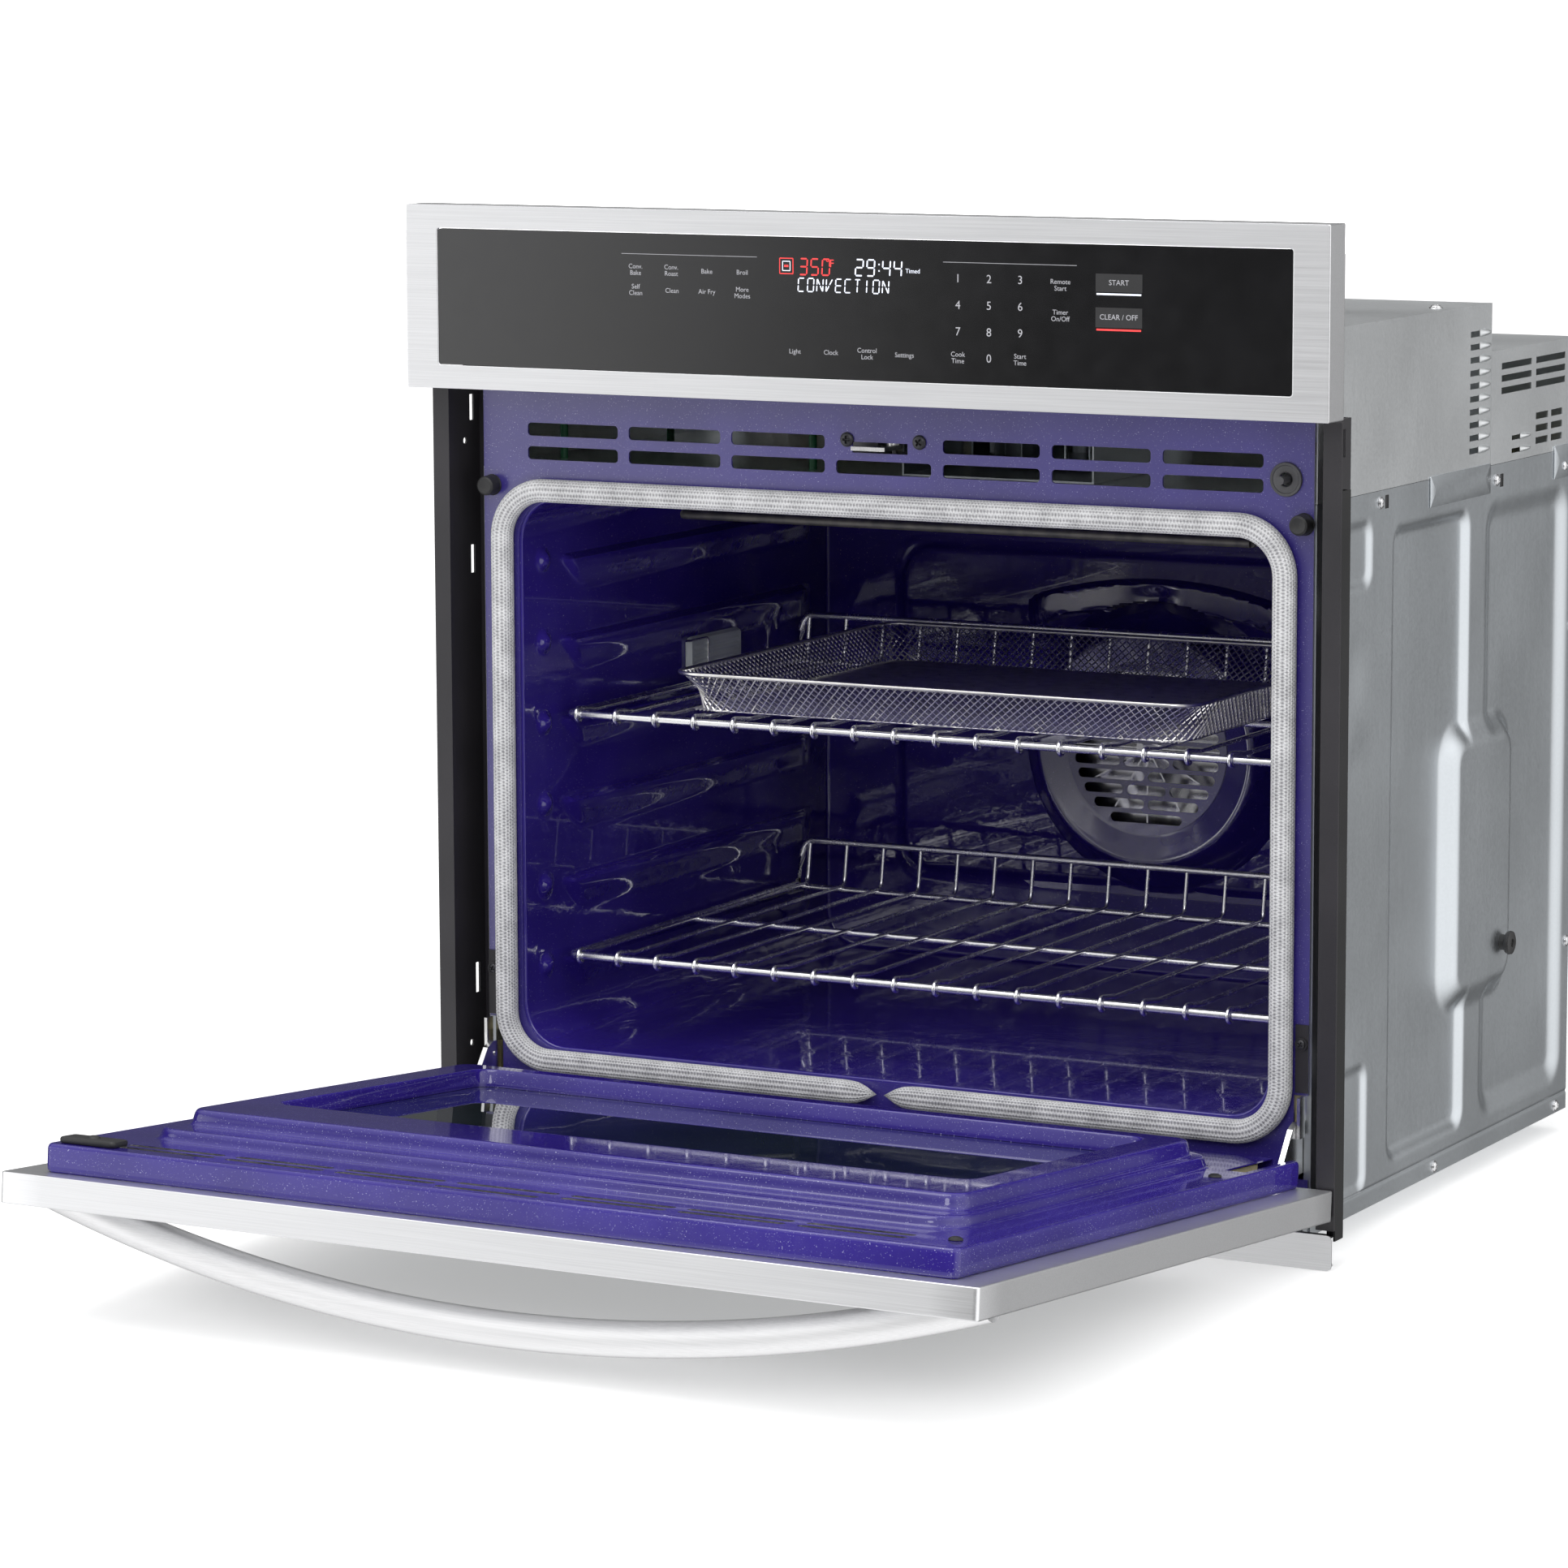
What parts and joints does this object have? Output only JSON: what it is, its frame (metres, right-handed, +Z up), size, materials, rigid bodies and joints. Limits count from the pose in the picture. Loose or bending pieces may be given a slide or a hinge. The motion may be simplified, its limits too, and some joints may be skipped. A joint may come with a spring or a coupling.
{
  "type": "wall oven",
  "caption": "Built-in single wall oven with a drop-down door, touch control panel, enamelled cavity, sliding racks and a convection fan.",
  "frame": {"origin": "middle of the body's width, on the underside of the base pan, at the plane of the cabinet face that the front trim closes against", "axes": "+X to the viewer's right facing the oven, +Y back into the cabinet, +Z up"},
  "size_m": [0.756, 1.1837, 0.75],
  "materials": {
    "fascia_steel": "fine horizontal brushing, satin",
    "panel_glass": "black glass, gloss, white print",
    "circuit_board": "green circuit board, satin",
    "blue_enamel": "cobalt blue porcelain enamel, gloss",
    "mineral_wool": "pressed mineral wool, matte",
    "gasket_braid": "braided glass fibre, matte",
    "black_rubber": "matte black",
    "zinc_steel": "zinc coated sheet steel, satin",
    "dark_paint": "dark grey paint, satin",
    "black_paint": "black paint, matte",
    "motor_steel": "dark steel, satin",
    "element_sheath": "dark oxidised heater sheath",
    "bright_steel": "bright drawn steel",
    "rack_chrome": "bright plated wire",
    "lamp_glass": "pressed clear glass",
    "lamp_ceramic": "white ceramic",
    "switch_plastic": "dark grey plastic",
    "door_glass": "dark tinted glass, gloss",
    "handle_steel": "finely brushed tube, satin",
    "screw_steel": "plated screws"
  },
  "bodies": {
    "oven": {"fascia_frame": "fascia_steel", "control_glass": "panel_glass", "display_board": "circuit_board", "control_board": "circuit_board", "front_frame": "blue_enamel", "cavity_liner": "blue_enamel", "insulation": "mineral_wool", "door_gasket": "gasket_braid", "frame_bumpers": "black_rubber", "side_panel_left": "zinc_steel", "side_panel_right": "zinc_steel", "base_pan": "zinc_steel", "back_panel": "zinc_steel", "motor_cover": "zinc_steel", "upper_cover": "zinc_steel", "rear_vent_box": "zinc_steel", "conduit_gland": "motor_steel", "side_trim_left": "dark_paint", "side_trim_right": "dark_paint", "cabinet_rail_left": "black_paint", "cabinet_rail_right": "black_paint", "bottom_trim": "fascia_steel", "trim_bracket": "black_paint", "blower_housing": "zinc_steel", "blower_motor": "motor_steel", "fan_cover": "blue_enamel", "convection_motor": "motor_steel", "convection_element": "element_sheath", "broil_element": "element_sheath", "bake_element": "element_sheath", "temperature_sensor": "bright_steel", "lamp_lens": "lamp_glass", "lamp_holder": "lamp_ceramic", "latch_motor": "motor_steel", "switch_bezel": "switch_plastic", "hinge_arm_left": "bright_steel", "hinge_arm_right": "bright_steel", "hinge_cover_left": "dark_paint", "hinge_cover_right": "dark_paint", "frame_screws": "screw_steel", "case_screws": "screw_steel", "side_spools": "black_rubber"},
    "blower": {"blower_wheel": "zinc_steel"},
    "fan": {"convection_fan": "bright_steel"},
    "rack_upper": {"rack_upper": "rack_chrome"},
    "rack_lower": {"rack_lower": "rack_chrome"},
    "tray": {"mesh_tray": "rack_chrome"},
    "latch": {"latch_hook": "bright_steel"},
    "switch": {"switch_plunger": "switch_plastic"},
    "lock_left": {"hinge_lock_left": "bright_steel"},
    "lock_right": {"hinge_lock_right": "bright_steel"},
    "door": {"door_skin": "fascia_steel", "door_outer_glass": "door_glass", "door_liner": "blue_enamel", "door_inner_glass": "door_glass", "door_insulation": "mineral_wool", "handle": "handle_steel", "door_pads": "black_rubber", "hinge_body_left": "motor_steel", "hinge_body_right": "motor_steel"}
  },
  "joints": [
    {"name": "door_hinge", "type": "hinge", "parent": "oven", "child": "door", "pos_m": [0, -0.039, 0.032], "axis": [-1, 0, 0], "range_deg": [0, 84.95]},
    {"name": "rack_upper_slide", "type": "slide", "parent": "oven", "child": "rack_upper", "axis": [0, 1, 0], "range_m": [-0.36, 0]},
    {"name": "rack_lower_slide", "type": "slide", "parent": "oven", "child": "rack_lower", "axis": [0, 1, 0], "range_m": [-0.36, 0]},
    {"name": "tray_lift", "type": "slide", "parent": "rack_upper", "child": "tray", "axis": [0, 0, 1], "range_m": [0, 0.05]},
    {"name": "fan_spin", "type": "hinge", "parent": "oven", "child": "fan", "pos_m": [0, 0.48, 0.276], "axis": [0, 1, 0], "continuous": true},
    {"name": "blower_spin", "type": "hinge", "parent": "oven", "child": "blower", "pos_m": [0.07, 0.2, 0.56], "axis": [0, 0, 1], "continuous": true},
    {"name": "latch_swing", "type": "hinge", "parent": "oven", "child": "latch", "pos_m": [0, 0.024, 0.559], "axis": [0, 0, 1], "range_deg": [0, 25]},
    {"name": "switch_press", "type": "slide", "parent": "oven", "child": "switch", "axis": [0, 1, 0], "range_m": [0, 0.012], "stiffness_N_per_m": 120},
    {"name": "hinge_lock_left_flip", "type": "hinge", "parent": "oven", "child": "lock_left", "pos_m": [-0.3415, -0.001, 0.076], "axis": [1, 0, 0], "range_deg": [0, 60]},
    {"name": "hinge_lock_right_flip", "type": "hinge", "parent": "oven", "child": "lock_right", "pos_m": [0.3415, -0.001, 0.076], "axis": [1, 0, 0], "range_deg": [0, 60]}
  ]
}
